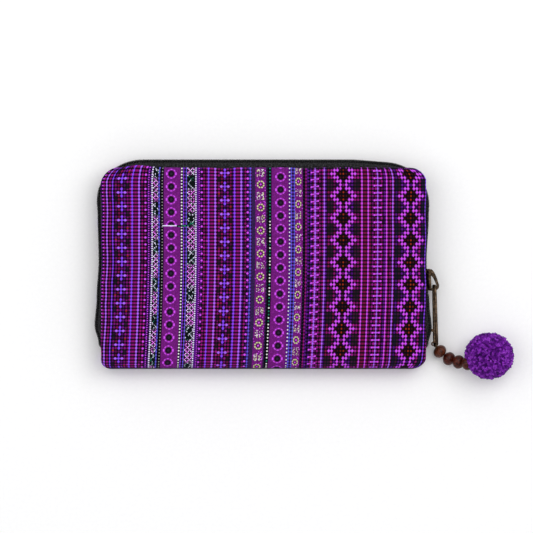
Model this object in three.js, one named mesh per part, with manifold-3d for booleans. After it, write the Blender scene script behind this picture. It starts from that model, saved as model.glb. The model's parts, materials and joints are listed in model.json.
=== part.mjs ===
// A woven zip pouch that lies on its back: padded cloth folded at the bottom, a coil zip round the other
// three sides, and a pull with a string of wooden beads and a yarn pompom.
//
// Millimetres, +Z up. The origin is the middle of the flat back, on the surface that the pouch lies on.
// +Y points to the top of the front, and +X to the side with the slider.

import * as THREE from 'three';
import { mergeVertices } from 'three/addons/utils/BufferGeometryUtils.js';
import Module from 'manifold-3d';

const wasm = await Module();
wasm.setup();

// The padded cloth
const pouchWidth = 196.2;
const pouchHeight = 121.4;
const edgeThickness = 21;
const crownRise = 3.2;
const clothWall = 2.6;
const clothCorner = 10;
const foldRadius = 8;
const foldPinch = 3;

// Gap between pieces that touch
const clearance = 0.3;

// The zip
const tapeThickness = 1;
const tapeTuck = 7;
const zipCorner = 25;
const zipStand = 5;
const coilDiameter = 2.3;
const mouthSpread = 1.2;
const mouthLength = 24;
const zipFootLift = 1.2;
const endStopLength = 1.8;
const endStopThickness = 0.8;

// The slider, one casting
const sliderBelowTop = 67.6;
const sliderLength = 13;
const sliderWidth = 9.2;
const sliderNose = 6.4;
const outerPlate = 1.6;
const innerPlate = 1.3;
const plateBevel = 0.45;
const crownWidth = 2.6;
const crownBand = 1.2;

// The pull, an open loop of bar
const pullLength = 38;
const pullBar = 1.5;
const pullBevel = 0.35;
const pullTopSpan = 5.8;
const pullFootSpan = 8.6;
const pullTurn = 10;
const pullSlant = 1.4;
const hingeHeight = 1.9;
const hingeBelowCentre = 3.9;
const hingeClearance = 0.8;

// The string of beads
const threadDiameter = 1.1;
const loopAngle = 50;
const beadDiameter = 8;
const beadLength = 6.8;
const beadBore = 2.8;
const beadSpace = 0.6;
const restLift = 0.1;

// The pompom
const pompomDiameter = 29;
const pompomHead = 26;
const lockCount = 42;
const lockWidth = 6.4;
const lockTip = 5;
const threadDepth = 7;

// Facets
const clothColumns = 18;
const tapeRows = 3;

// Soft hollows in the padded front. across and up are shares of half the width and height, reach is a
// share of the height, and depth is a share of the crown.
const dents = [
  { across: -0.66, up: -0.42, reach: 0.26, depth: 0.3 },
  { across: -0.18, up: 0.52, reach: 0.22, depth: 0.2 },
  { across: 0.34, up: -0.3, reach: 0.24, depth: 0.22 },
  { across: 0.8, up: 0.1, reach: 0.2, depth: 0.28 },
];

// How far the coil stands out of the cloth's edge, as a share of zipStand, along each edge of the zip.
const standRows = [
  { edge: 'left', share: 0, stand: -0.8 },
  { edge: 'left', share: 0.05, stand: -0.5 },
  { edge: 'left', share: 0.12, stand: 0.3 },
  { edge: 'left', share: 0.24, stand: 0.78 },
  { edge: 'left', share: 0.42, stand: 0.54 },
  { edge: 'left', share: 0.66, stand: 0.3 },
  { edge: 'left', share: 0.96, stand: 0.42 },
  { edge: 'leftCorner', share: 0.45, stand: 0.98 },
  { edge: 'top', share: 0.05, stand: 1 },
  { edge: 'top', share: 0.85, stand: 1 },
  { edge: 'rightCorner', share: 0.15, stand: 0.68 },
  { edge: 'rightCorner', share: 0.6, stand: 0.64 },
  { edge: 'right', share: 0.05, stand: 0.34 },
  { edge: 'right', share: 0.34, stand: 0.08 },
  { edge: 'right', share: 0.46, stand: 0.1 },
  { edge: 'right', share: 0.62, stand: 0.44 },
  { edge: 'right', share: 0.78, stand: 0.7 },
  { edge: 'right', share: 0.88, stand: 0.3 },
  { edge: 'right', share: 0.95, stand: -0.5 },
  { edge: 'right', share: 1, stand: -0.8 },
];

// The route of the string, each bead's direction from the one before: its heading in the plane of the
// front and its climb above that plane, in degrees.
const stringRoute = [
  { heading: -38.7, climb: 8.5 },
  { heading: -15.2, climb: 36 },
  { heading: -14.8, climb: 45.7 },
];
const firstBeadOut = 2.4;
const firstBeadDown = 3.2;
const pompomSink = 0.3;
const pompomHeading = 20;

const halfWidth = pouchWidth / 2;
const top = pouchHeight / 2;
const bottom = -pouchHeight / 2;
const middle = edgeThickness / 2;
const degree = Math.PI / 180;

// Geometry helpers

function signedVolume(geometry) {
  const position = geometry.attributes.position;
  const a = new THREE.Vector3();
  const b = new THREE.Vector3();
  const c = new THREE.Vector3();
  let volume = 0;
  for (let i = 0; i < geometry.index.count; i += 3) {
    a.fromBufferAttribute(position, geometry.index.getX(i));
    b.fromBufferAttribute(position, geometry.index.getX(i + 1));
    c.fromBufferAttribute(position, geometry.index.getX(i + 2));
    volume += a.dot(b.cross(c)) / 6;
  }
  return volume;
}

// One closed body: shared corners merged, no empty faces, and every face pointing out.
function closed(source) {
  const loose = source.clone();
  loose.deleteAttribute('normal');
  loose.deleteAttribute('uv');
  const geometry = mergeVertices(loose, 0.0001);
  const merged = geometry.index;
  const faces = [];
  for (let i = 0; i < merged.count; i += 3) {
    const corners = [merged.getX(i), merged.getX(i + 1), merged.getX(i + 2)];
    if (new Set(corners).size === 3) {
      faces.push(corners);
    }
  }
  geometry.setIndex(faces.flat());
  if (signedVolume(geometry) < 0) {
    geometry.setIndex(faces.flatMap(([first, second, third]) => [second, first, third]));
  }
  geometry.computeVertexNormals();
  return geometry;
}

function toSolid(source) {
  const geometry = closed(source);
  return new wasm.Manifold(new wasm.Mesh({
    numProp: 3,
    vertProperties: new Float32Array(geometry.attributes.position.array),
    triVerts: new Uint32Array(geometry.index.array),
  }));
}

function fromSolid(solid) {
  const mesh = solid.getMesh();
  const geometry = new THREE.BufferGeometry();
  geometry.setAttribute('position', new THREE.BufferAttribute(new Float32Array(mesh.vertProperties), 3));
  geometry.setIndex(new THREE.BufferAttribute(new Uint32Array(mesh.triVerts), 1));
  return closed(geometry);
}

// A box whose grid of corners is moved into place. place gets the column and row numbers and the layer,
// from -0.5 to 0.5.
function bentBox(columns, rows, place) {
  const geometry = new THREE.BoxGeometry(1, 1, 1, columns, rows, 1);
  const position = geometry.attributes.position;
  for (let i = 0; i < position.count; i += 1) {
    const column = Math.round((position.getX(i) + 0.5) * columns);
    const row = Math.round((position.getY(i) + 0.5) * rows);
    const point = place(column, row, position.getZ(i));
    position.setXYZ(i, point.x, point.y, point.z);
  }
  return closed(geometry);
}

function smoothMix(low, high, share) {
  const t = THREE.MathUtils.clamp(share, 0, 1);
  return low + (high - low) * t * t * (3 - 2 * t);
}

// Turns a profile drawn in X and Y, and extruded along Z, to lie in Y and Z with its depth along X.
const standUp = new THREE.Matrix4().makeBasis(
  new THREE.Vector3(0, 1, 0),
  new THREE.Vector3(0, 0, 1),
  new THREE.Vector3(1, 0, 0),
);

// The padded cloth: back, bottom fold and front in one wrap

function panelRows() {
  const cornerSteps = 5;
  const flatSteps = 8;
  const run = pouchHeight - foldRadius;
  const rows = [];
  for (let i = 0; i <= cornerSteps; i += 1) {
    rows.push(clothCorner * (1 - Math.cos((i / cornerSteps) * Math.PI / 2)));
  }
  for (let i = 1; i <= flatSteps; i += 1) {
    rows.push(clothCorner + (run - clothCorner) * (i / flatSteps));
  }
  return rows;
}

function panelHalfWidth(fromTop) {
  if (fromTop >= clothCorner) {
    return halfWidth;
  }
  const rise = clothCorner - fromTop;
  return halfWidth - clothCorner + Math.sqrt(clothCorner * clothCorner - rise * rise);
}

// The rows of the wrap, from the top of the back round the fold to the top of the front. y and z lie on
// the outer face, outY and outZ point out of the cloth.
function wrapRows() {
  const foldSteps = 5;
  const back = panelRows().map((d) => (
    { y: top - d, z: 0, outY: 0, outZ: -1, half: panelHalfWidth(d), front: 0 }));
  const fold = [];
  const centres = [
    { z: foldRadius, from: 0 },
    { z: edgeThickness - foldRadius, from: 90 },
  ];
  centres.forEach((centre) => {
    for (let i = 0; i <= foldSteps; i += 1) {
      const turn = (centre.from + (90 * i) / foldSteps) * degree;
      const pinch = foldPinch * Math.sin(turn) ** 2;
      fold.push({
        y: bottom + foldRadius - foldRadius * Math.sin(turn),
        z: centre.z - foldRadius * Math.cos(turn),
        outY: -Math.sin(turn),
        outZ: -Math.cos(turn),
        half: halfWidth - pinch,
        front: 0,
      });
    }
  });
  const front = panelRows().reverse().map((d) => (
    { y: top - d, z: edgeThickness, outY: 0, outZ: 1, half: panelHalfWidth(d), front: 1 }));
  return [...back, ...fold.slice(1, -1), ...front];
}

// How far the padded front rises above its edges.
function pillow(x, y) {
  const across = Math.abs(x) / halfWidth;
  const foldEnd = bottom + foldRadius;
  const up = Math.abs((2 * (y - foldEnd)) / (top - foldEnd) - 1);
  let rise = crownRise * (1 - across ** 3) * (1 - up ** 3);
  dents.forEach((dent) => {
    const reach = dent.reach * pouchHeight;
    const away = Math.hypot(x - dent.across * halfWidth, y - dent.up * top) / reach;
    rise -= crownRise * dent.depth * Math.exp(-away * away) * (1 - across ** 4) * (1 - up ** 4);
  });
  return Math.max(rise, 0);
}

function makeCover() {
  const rows = wrapRows();
  return bentBox(clothColumns, rows.length - 1, (column, rowNumber, layer) => {
    const row = rows[rowNumber];
    const depth = clothWall * (0.5 - layer);
    const x = row.half * ((2 * column) / clothColumns - 1);
    const lift = row.front * pillow(x, row.y);
    return { x, y: row.y - row.outY * depth, z: row.z - row.outZ * depth + lift };
  });
}

// The line of the zip: up the left side, over the top and down the right side

const zipFoot = bottom + clothWall + clearance + zipFootLift;
const sideRun = top - zipCorner - zipFoot;
const cornerRun = (Math.PI / 2) * zipCorner;
const topRun = pouchWidth - 2 * zipCorner;
const zipEdges = [
  { edge: 'left', run: sideRun, steps: 16 },
  { edge: 'leftCorner', run: cornerRun, steps: 6 },
  { edge: 'top', run: topRun, steps: 12 },
  { edge: 'rightCorner', run: cornerRun, steps: 6 },
  { edge: 'right', run: sideRun, steps: 20 },
];

function edgeStart(name) {
  let start = 0;
  for (const row of zipEdges) {
    if (row.edge === name) {
      return start;
    }
    start += row.run;
  }
  return start;
}

function zipStations() {
  const stations = [0];
  zipEdges.forEach((row) => {
    for (let i = 1; i <= row.steps; i += 1) {
      stations.push(edgeStart(row.edge) + (row.run * i) / row.steps);
    }
  });
  return stations;
}

// A point on the cloth's edge line, with the direction that points away from the pouch.
function edgePoint(along) {
  const leftCorner = edgeStart('leftCorner');
  const topEdge = edgeStart('top');
  const rightCorner = edgeStart('rightCorner');
  const right = edgeStart('right');
  if (along <= leftCorner) {
    return { x: -halfWidth, y: zipFoot + along, outX: -1, outY: 0 };
  }
  if (along <= topEdge) {
    const turn = Math.PI - (along - leftCorner) / zipCorner;
    return cornerPoint(-halfWidth + zipCorner, turn);
  }
  if (along <= rightCorner) {
    return { x: -halfWidth + zipCorner + along - topEdge, y: top, outX: 0, outY: 1 };
  }
  if (along <= right) {
    const turn = Math.PI / 2 - (along - rightCorner) / zipCorner;
    return cornerPoint(halfWidth - zipCorner, turn);
  }
  return { x: halfWidth, y: top - zipCorner - (along - right), outX: 1, outY: 0 };
}

function cornerPoint(centreX, turn) {
  return {
    x: centreX + zipCorner * Math.cos(turn),
    y: top - zipCorner + zipCorner * Math.sin(turn),
    outX: Math.cos(turn),
    outY: Math.sin(turn),
  };
}

function standAt(along) {
  const rows = standRows.map((row) => {
    const edge = zipEdges.find((e) => e.edge === row.edge);
    return { at: edgeStart(row.edge) + row.share * edge.run, stand: row.stand * zipStand };
  });
  const next = rows.findIndex((row) => row.at >= along);
  if (next <= 0) {
    return next === 0 ? rows[0].stand : rows[rows.length - 1].stand;
  }
  const low = rows[next - 1];
  const high = rows[next];
  return smoothMix(low.stand, high.stand, (along - low.at) / (high.at - low.at));
}

// The zip is closed above the slider and open from it down to the end stop.
const sliderAt = edgeStart('right') + sliderBelowTop - zipCorner;
const endStopAt = sliderAt + sliderLength / 2 + mouthLength;

function spreadAt(along) {
  const lowerEnd = sliderAt + sliderLength / 2;
  if (along <= lowerEnd) {
    return mouthSpread * smoothMix(0, 1, (along - sliderAt + sliderLength / 6) / (sliderLength / 2));
  }
  return mouthSpread * smoothMix(1, 0, (along - lowerEnd) / (mouthLength - endStopLength));
}

// How far from the middle the tape may lie, inside the cloth and its fold.
function tapeCeiling(y) {
  const underCloth = middle - clothWall - clearance - tapeThickness / 2;
  const arcStart = bottom + foldRadius;
  if (y >= arcStart) {
    return underCloth;
  }
  const radius = foldRadius - clothWall - clearance - tapeThickness / 2;
  const drop = Math.min(arcStart - y, radius);
  return middle - foldRadius + Math.sqrt(radius * radius - drop * drop);
}

const stations = zipStations();
const coilRadius = coilDiameter / 2;

// side is 1 for the front row and -1 for the back row. extra makes the room that the slider leaves for it.
function makeTape(side, extra = 0) {
  return bentBox(stations.length - 1, tapeRows, (column, rowNumber, layer) => {
    const along = stations[column];
    const base = edgePoint(along);
    const ceiling = tapeCeiling(base.y);
    const outer = standAt(along) - coilRadius;
    const coilSide = spreadAt(along) + clearance * 1.5 + coilDiameter;
    const bend = -tapeTuck + (outer + tapeTuck) * 0.85;
    const profile = new THREE.CubicBezierCurve(
      new THREE.Vector2(-tapeTuck, ceiling),
      new THREE.Vector2(bend, ceiling),
      new THREE.Vector2(outer, (ceiling + coilSide) / 2),
      new THREE.Vector2(outer, coilSide),
    );
    const point = profile.getPoint(rowNumber / tapeRows);
    const tangent = profile.getTangent(rowNumber / tapeRows);
    const off = layer * (tapeThickness + 2 * extra);
    const out = point.x - tangent.y * off;
    const height = point.y + tangent.x * off;
    return { x: base.x + base.outX * out, y: base.y + base.outY * out, z: middle + side * height };
  });
}

function makeCoil(side, extra = 0) {
  const radius = coilRadius + extra;
  return bentBox(stations.length - 1, 2, (column, rowNumber, layer) => {
    const along = stations[column];
    const base = edgePoint(along);
    const quarter = rowNumber / 2 - 0.5;
    const turn = (layer > 0 ? 90 - 120 * quarter : 270 + 120 * quarter) * degree;
    const out = standAt(along) - coilRadius + radius * Math.sin(turn);
    const height = spreadAt(along) + clearance / 2 + coilRadius + radius * Math.cos(turn);
    return { x: base.x + base.outX * out, y: base.y + base.outY * out, z: middle + side * height };
  });
}

// The room that a piece on the zip leaves for the tapes and the coils, in that piece's own frame.
function zipRoom(frame) {
  const toPiece = frame.clone().invert();
  const pieces = [
    makeTape(1, clearance),
    makeTape(-1, clearance),
    makeCoil(1, clearance * 1.3),
    makeCoil(-1, clearance * 1.3),
  ];
  return pieces.map((piece) => toSolid(piece.applyMatrix4(toPiece)))
    .reduce((whole, piece) => whole.add(piece));
}

// A place on the zip: its own X points out of the pouch and its own Y back along the zip, up the side.
function zipPlace(along, length) {
  const step = length / 2;
  const ends = [along - step, along + step].map((at) => {
    const base = edgePoint(at);
    const stand = standAt(at);
    return new THREE.Vector2(base.x + base.outX * stand, base.y + base.outY * stand);
  });
  const centre = ends[0].clone().add(ends[1]).multiplyScalar(0.5);
  const up = ends[0].clone().sub(ends[1]).normalize();
  const group = new THREE.Group();
  group.position.set(centre.x, centre.y, middle);
  group.rotation.z = Math.atan2(up.y, up.x) - Math.PI / 2;
  group.updateMatrixWorld(true);
  return group;
}

function extrudeBevelled(shape, depth, bevel, curveSegments = 6) {
  const geometry = new THREE.ExtrudeGeometry(shape, {
    depth: depth - 2 * bevel,
    bevelEnabled: bevel > 0,
    bevelThickness: bevel,
    bevelSize: bevel,
    bevelOffset: -bevel,
    bevelSegments: 1,
    curveSegments,
  });
  return geometry.translate(0, 0, bevel - depth / 2);
}

// The slider

const plateTop = clearance + outerPlate;
const hinge = new THREE.Vector3(plateTop + hingeHeight, -hingeBelowCentre, 0);
const hingeBore = pullBar / 2 + hingeClearance;

function makeSliderBody() {
  const half = sliderLength / 2;
  const wide = sliderWidth / 2;
  const nose = sliderNose / 2;
  const round = sliderLength / 8;
  const outline = new THREE.Shape();
  outline.moveTo(-half + round, -wide);
  outline.lineTo(half - sliderLength / 3, -wide);
  outline.quadraticCurveTo(half - round, -wide, half, -nose + round);
  outline.quadraticCurveTo(half, 0, half, nose - round);
  outline.quadraticCurveTo(half - round, wide, half - sliderLength / 3, wide);
  outline.lineTo(-half + round, wide);
  outline.quadraticCurveTo(-half, wide, -half, wide - round);
  outline.lineTo(-half, -wide + round);
  outline.quadraticCurveTo(-half, -wide, -half + round, -wide);
  const low = -coilDiameter - clearance - innerPlate;
  const body = extrudeBevelled(outline, plateTop - low, plateBevel, 3);
  return body.applyMatrix4(standUp).translate((plateTop + low) / 2, 0, 0);
}

// The arched loop that holds the pull, round at the hinge and running out flat to the nose.
function makeSliderCrown() {
  const noseY = sliderLength / 2 - plateBevel;
  const outer = hingeBore + crownBand;
  const turn = 25 * degree;
  const loop = new THREE.Shape();
  loop.moveTo(plateTop - plateBevel, hinge.y - outer);
  loop.lineTo(hinge.x, hinge.y - outer);
  loop.absarc(hinge.x, hinge.y, outer, -Math.PI / 2, turn, false);
  loop.quadraticCurveTo(plateTop + outer, noseY - crownBand, plateTop + crownBand / 2, noseY);
  loop.lineTo(plateTop - plateBevel, noseY);
  const eye = new THREE.Path();
  const floor = plateTop + clearance / 2;
  eye.moveTo(floor, hinge.y - hingeBore);
  eye.lineTo(hinge.x, hinge.y - hingeBore);
  eye.absarc(hinge.x, hinge.y, hingeBore, -Math.PI / 2, turn, false);
  eye.quadraticCurveTo(plateTop + hingeBore, noseY - 3 * crownBand, floor, noseY - 3 * crownBand);
  loop.holes.push(eye);
  return extrudeBevelled(loop, crownWidth, plateBevel / 2, 5);
}

function makeSlider(frame) {
  const casting = toSolid(makeSliderBody()).add(toSolid(makeSliderCrown()));
  return fromSolid(casting.subtract(zipRoom(frame)));
}

// The clip that ends the run of the slider: a bridge over both coils.
function makeEndStop(frame) {
  const half = clearance / 2 + coilDiameter;
  const low = -coilRadius / 4;
  const high = clearance + endStopThickness;
  const outline = new THREE.Shape();
  const round = endStopThickness / 2;
  outline.moveTo(low, -half);
  outline.lineTo(high - round, -half);
  outline.quadraticCurveTo(high, -half, high, -half + round);
  outline.lineTo(high, half - round);
  outline.quadraticCurveTo(high, half, high - round, half);
  outline.lineTo(low, half);
  const bridge = extrudeBevelled(outline, endStopLength, 0, 3);
  bridge.rotateX(Math.PI / 2);
  return fromSolid(toSolid(bridge).subtract(zipRoom(frame)));
}

// The pull

const pullFootRadius = pullFootSpan / 2;

// The pull's outline, offset from the middle line of its bar. The top bar's middle is at the origin.
function pullOutline(Kind, offset) {
  const half = pullTopSpan / 2 + offset;
  const low = pullFootRadius + offset;
  const round = pullBar + offset;
  const centre = -(pullLength - pullBar - pullFootRadius);
  const outline = new Kind();
  outline.moveTo(offset - round, -half);
  outline.quadraticCurveTo(offset, -half, offset, -half + round);
  outline.lineTo(offset, half - round);
  outline.quadraticCurveTo(offset, half, offset - round, half);
  outline.lineTo(centre, low);
  outline.absarc(centre, 0, low, Math.PI / 2, (3 * Math.PI) / 2, false);
  return outline;
}

function makePullFrame() {
  const loop = pullOutline(THREE.Shape, pullBar / 2);
  loop.holes.push(pullOutline(THREE.Path, -pullBar / 2));
  return closed(extrudeBevelled(loop, pullBar, pullBevel).applyMatrix4(standUp));
}

// A point on the middle of the bar in the pull's round foot. turn is 0 at the very end.
function pullFootPoint(turn) {
  const centre = -(pullLength - pullBar - pullFootRadius);
  const along = centre - pullFootRadius * Math.cos(turn);
  return new THREE.Vector3(0, along, -pullFootRadius * Math.sin(turn));
}

// The string of beads

function stringPlaces(pull) {
  const foot = pull.localToWorld(pullFootPoint(0));
  const place = new THREE.Vector3(
    foot.x + firstBeadOut,
    foot.y - firstBeadDown,
    beadDiameter / 2 + restLift,
  );
  const beads = [place];
  const pitch = beadLength + beadSpace;
  stringRoute.forEach((step) => {
    const level = pitch * Math.cos(step.climb * degree);
    beads.push(beads[beads.length - 1].clone().add(new THREE.Vector3(
      level * Math.cos(step.heading * degree),
      level * Math.sin(step.heading * degree),
      pitch * Math.sin(step.climb * degree),
    )));
  });
  const last = beads[beads.length - 1];
  const reach = pompomDiameter / 2 - pompomSink;
  const pompom = new THREE.Vector3(
    last.x + reach * Math.cos(pompomHeading * degree),
    last.y + reach * Math.sin(pompomHeading * degree),
    pompomDiameter / 2 + restLift,
  );
  const loop = pull.localToWorld(pullFootPoint(loopAngle * degree));
  return { loop, beads, pompom };
}

function threadCurve(places, loopStart) {
  const inward = places.pompom.clone().sub(places.beads[places.beads.length - 1]).normalize();
  const end = places.pompom.clone().addScaledVector(inward, threadDepth - pompomDiameter / 2);
  return new THREE.CatmullRomCurve3([loopStart, ...places.beads, end]);
}

// Where bead number i sits on the thread: its middle, and the way that its bore points.
function beadSeat(curve, i) {
  const points = curve.points;
  const spans = points.length - 1;
  const half = beadLength / 2;
  const before = curve.getPoint((i - half / points[i].distanceTo(points[i - 1])) / spans);
  const after = curve.getPoint((i + half / points[i].distanceTo(points[i + 1])) / spans);
  const way = after.clone().sub(before).normalize();
  const chord = before.add(after).multiplyScalar(0.5);
  return { way, centre: chord.add(points[i]).multiplyScalar(0.5) };
}

const loopRadius = pullBar / 2 + hingeClearance + threadDiameter / 4;

function makeThreadTube(curve, extra = 0) {
  const section = new THREE.Shape();
  section.absarc(0, 0, threadDiameter / 2 + extra, 0, 2 * Math.PI, false);
  return new THREE.ExtrudeGeometry(section, { steps: 34, curveSegments: 4, extrudePath: curve });
}

function makeThread(curve, loopFrame) {
  const ring = new THREE.TorusGeometry(loopRadius, threadDiameter / 2, 6, 14);
  return fromSolid(toSolid(ring.applyMatrix4(loopFrame)).add(toSolid(makeThreadTube(curve))));
}

function makeBead() {
  const radius = beadDiameter / 2;
  const half = beadLength / 2;
  const bore = beadBore / 2;
  const mouth = Math.acos(bore / radius);
  const steps = 7;
  const profile = [];
  for (let i = 0; i <= steps; i += 1) {
    const turn = mouth * ((2 * i) / steps - 1);
    profile.push(new THREE.Vector2(radius * Math.cos(turn), half * Math.sin(turn)));
  }
  profile.push(profile[0].clone());
  return closed(new THREE.LatheGeometry(profile, 12));
}

// The pompom: a round head with its locks of yarn, dented by the last bead and bored for the thread.
function makePompom(places, curve) {
  const centre = places.pompom;
  const reach = Math.sqrt(pompomDiameter ** 2 - lockTip ** 2) / 2;
  const root = pompomHead / 4;
  let ball = toSolid(new THREE.SphereGeometry(pompomHead / 2, 16, 10));
  const up = new THREE.Vector3(0, 1, 0);
  const golden = Math.PI * (3 - Math.sqrt(5));
  for (let i = 0; i < lockCount; i += 1) {
    const height = 1 - (2 * i + 1) / lockCount;
    const ring = Math.sqrt(1 - height * height);
    const way = new THREE.Vector3(ring * Math.cos(golden * i), ring * Math.sin(golden * i), height);
    const lock = new THREE.CylinderGeometry(lockTip / 2, lockWidth / 2, reach - root, 6);
    lock.translate(0, (reach + root) / 2, 0);
    lock.applyQuaternion(new THREE.Quaternion().setFromUnitVectors(up, way));
    ball = ball.add(toSolid(lock));
  }
  const bead = new THREE.SphereGeometry(beadDiameter / 2 + 1.5 * clearance, 14, 10);
  bead.translate(...beadSeat(curve, places.beads.length).centre.sub(centre).toArray());
  const bore = makeThreadTube(curve, clearance).translate(...centre.clone().negate().toArray());
  return fromSolid(ball.subtract(toSolid(bead)).subtract(toSolid(bore)));
}

// Materials

function cloth() {
  return new THREE.MeshStandardMaterial({ color: 0x5a1c6e, roughness: 0.92, metalness: 0 });
}

function nylon() {
  return new THREE.MeshStandardMaterial({ color: 0x17161a, roughness: 0.7, metalness: 0 });
}

function bronze() {
  return new THREE.MeshStandardMaterial({ color: 0x3c322a, roughness: 0.42, metalness: 0.9 });
}

function wood() {
  return new THREE.MeshStandardMaterial({ color: 0x3a1710, roughness: 0.35, metalness: 0 });
}

function yarn() {
  return new THREE.MeshStandardMaterial({ color: 0x5a1a8c, roughness: 1, metalness: 0 });
}

function cord() {
  return new THREE.MeshStandardMaterial({ color: 0x4a2a1a, roughness: 0.85, metalness: 0 });
}

// The assembly

function add(parent, name, geometry, material) {
  const mesh = new THREE.Mesh(geometry, material);
  mesh.name = name;
  parent.add(mesh);
  return mesh;
}

function build() {
  const pouch = new THREE.Group();
  add(pouch, 'cover', makeCover(), cloth());
  add(pouch, 'zip_tape_front', makeTape(1), nylon());
  add(pouch, 'zip_tape_back', makeTape(-1), nylon());
  add(pouch, 'zip_coil_front', makeCoil(1), nylon());
  add(pouch, 'zip_coil_back', makeCoil(-1), nylon());

  const stopPlace = zipPlace(endStopAt, endStopLength);
  add(stopPlace, 'end_stop', makeEndStop(stopPlace.matrixWorld), bronze());
  pouch.add(stopPlace);

  const sliderPlace = zipPlace(sliderAt, sliderLength);
  add(sliderPlace, 'slider', makeSlider(sliderPlace.matrixWorld), bronze());
  pouch.add(sliderPlace);

  const pull = new THREE.Group();
  pull.position.copy(sliderPlace.localToWorld(hinge.clone()));
  pull.rotation.set(0, pullTurn * degree, pullSlant * degree, 'ZYX');
  pull.updateMatrixWorld(true);
  add(pull, 'pull_frame', makePullFrame(), bronze());
  pouch.add(pull);

  const places = stringPlaces(pull);
  const barWay = pull.localToWorld(pullFootPoint(loopAngle * degree + 0.01)).sub(places.loop).normalize();
  const toBead = places.beads[0].clone().sub(places.loop);
  const loopOut = toBead.addScaledVector(barWay, -toBead.dot(barWay)).normalize();
  const loopFrame = new THREE.Matrix4().makeBasis(loopOut, barWay.clone().cross(loopOut), barWay);
  loopFrame.setPosition(places.loop);
  const curve = threadCurve(places, places.loop.clone().addScaledVector(loopOut, loopRadius));
  add(pouch, 'bead_thread', makeThread(curve, loopFrame), cord());

  const up = new THREE.Vector3(0, 1, 0);
  places.beads.forEach((_, i) => {
    const bead = add(pouch, `bead_${i + 1}`, makeBead(), wood());
    const seat = beadSeat(curve, i + 1);
    bead.position.copy(seat.centre);
    bead.quaternion.setFromUnitVectors(up, seat.way);
  });

  const pompom = add(pouch, 'pompom', makePompom(places, curve), yarn());
  pompom.position.copy(places.pompom);
  return pouch;
}

export default build();
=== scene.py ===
# %% [markdown]
# # A woven zip pouch with a bead and pompom pull
# The pouch lies on its back on a pale table, seen from straight above. Its solids, sizes and joint come
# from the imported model, and this lesson dresses them: padded striped cloth, a coil zip with real teeth,
# worn bronze, wooden beads, twisted cord and a pompom of cut yarn. Lengths below are in millimetres, and
# each finished mesh is scaled to metres once, at the end of its making.

# %% Load the fixed frame
import json
import math
import random

import bmesh
import bpy
from mathutils import Matrix, Vector, noise


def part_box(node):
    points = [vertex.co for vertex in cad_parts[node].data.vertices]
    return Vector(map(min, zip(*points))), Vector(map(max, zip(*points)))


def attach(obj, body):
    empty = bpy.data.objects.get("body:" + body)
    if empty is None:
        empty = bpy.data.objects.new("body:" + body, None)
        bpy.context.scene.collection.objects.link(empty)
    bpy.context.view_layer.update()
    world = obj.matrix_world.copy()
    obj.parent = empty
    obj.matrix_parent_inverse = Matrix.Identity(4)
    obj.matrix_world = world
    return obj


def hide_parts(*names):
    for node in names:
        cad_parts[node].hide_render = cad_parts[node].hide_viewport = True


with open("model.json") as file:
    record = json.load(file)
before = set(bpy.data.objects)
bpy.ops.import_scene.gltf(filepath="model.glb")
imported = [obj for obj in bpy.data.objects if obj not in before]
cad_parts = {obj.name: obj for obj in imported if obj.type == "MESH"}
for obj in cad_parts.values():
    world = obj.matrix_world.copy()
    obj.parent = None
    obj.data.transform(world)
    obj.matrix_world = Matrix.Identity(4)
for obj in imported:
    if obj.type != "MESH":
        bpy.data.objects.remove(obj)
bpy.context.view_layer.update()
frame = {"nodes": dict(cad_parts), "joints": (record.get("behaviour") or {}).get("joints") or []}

MM = 0.001

# %% [markdown]
# ## Reading sizes from the frame
# A box gives the lowest and highest corner of a piece at rest. Everything that follows starts from these
# boxes, so the dressed pieces sit exactly where the solids are.


# %% Sizes of the pouch
def table(columns, *rows):
    """Rows of values, each as a dict with the names of the columns."""
    return [dict(zip(columns.split(), row)) for row in rows]


def box_mm(node):
    """The two corners of a node's box, in mm."""
    return [Vector(corner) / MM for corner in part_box(node)]


def centre_mm(node):
    low, high = box_mm(node)
    return (low + high) / 2


cover_low, cover_high = box_mm("cover")
half_width = cover_high.x
top = cover_high.y
bottom = cover_low.y
edge_thickness = 21
crown_rise = 3.2
wall = 2.6
fold_radius = 8
middle = edge_thickness / 2
panel_run = top - bottom - fold_radius
arc_run = math.pi / 2 * fold_radius
fold_run = 2 * arc_run + edge_thickness - 2 * fold_radius
cloth_length = 2 * panel_run + fold_run
cloth_width = 2 * half_width
print("pouch:", round(cloth_width, 1), "x", round(top - bottom, 1), "mm")

# %% [markdown]
# ## Camera, floor and light
# The photograph looks straight down through a long lens, so the camera hangs eight metres above the front
# and its lens is worked out from the width of the picture at the height of the cloth. The floor is a
# plain pale sheet. Two large soft lights and a bright sky give the even light of a product picture, with
# the stronger one at the upper right, where the beads have their highlights.

# %% Camera, floor and lights
view_width = 321
view_centre = Vector((1.8, 1.05, 21))
camera_height = 8000
sensor = 36


def add_camera():
    data = bpy.data.cameras.new("camera")
    data.sensor_width = sensor
    data.lens = sensor * camera_height / view_width
    data.clip_end = 20
    camera = bpy.data.objects.new("camera", data)
    camera.location = (view_centre + Vector((0, 0, camera_height))) * MM
    bpy.context.scene.collection.objects.link(camera)
    bpy.context.scene.camera = camera
    print("lens:", round(data.lens), "mm")


def add_light(name, place, size, power):
    """A square soft light at place, in metres, that faces the pouch."""
    data = bpy.data.lights.new(name, "AREA")
    data.size = size
    data.energy = power
    light = bpy.data.objects.new(name, data)
    light.location = place
    light.rotation_euler = (-Vector(place)).to_track_quat("-Z", "Y").to_euler()
    bpy.context.scene.collection.objects.link(light)


def add_world(strength):
    world = bpy.data.worlds.new("studio")
    world.use_nodes = True
    background = world.node_tree.nodes["Background"]
    background.inputs["Color"].default_value = (1, 1, 1, 1)
    background.inputs["Strength"].default_value = strength
    bpy.context.scene.world = world


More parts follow.
